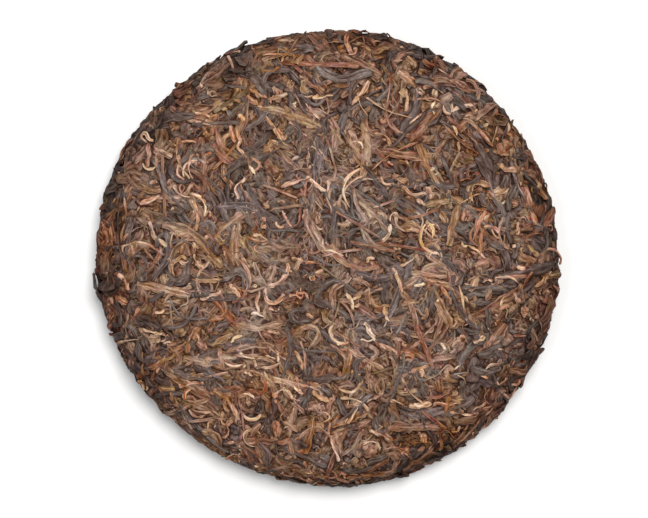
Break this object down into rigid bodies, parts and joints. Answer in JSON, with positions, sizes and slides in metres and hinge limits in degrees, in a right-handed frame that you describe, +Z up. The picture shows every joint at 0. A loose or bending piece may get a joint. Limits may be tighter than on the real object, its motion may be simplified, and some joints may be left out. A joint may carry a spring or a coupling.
{
  "type": "pressed tea cake",
  "caption": "Round disc of whole dark tea leaves pressed into a low dome, with a rough rim and a knot's dimple in the flat back.",
  "frame": {"origin": "on the table, under the middle of the cake, which lies on its flat back", "axes": "+Z up through the domed face, +Y towards the top of the face as the picture shows it, +X to its right"},
  "size_m": [0.196, 0.1934, 0.0253],
  "materials": {
    "tea_leaf": "matt dry leaf, mixed dark brown, rust and tan, with a few cream buds"
  },
  "bodies": {
    "root": {"tea_cake": "tea_leaf"}
  },
  "joints": []
}
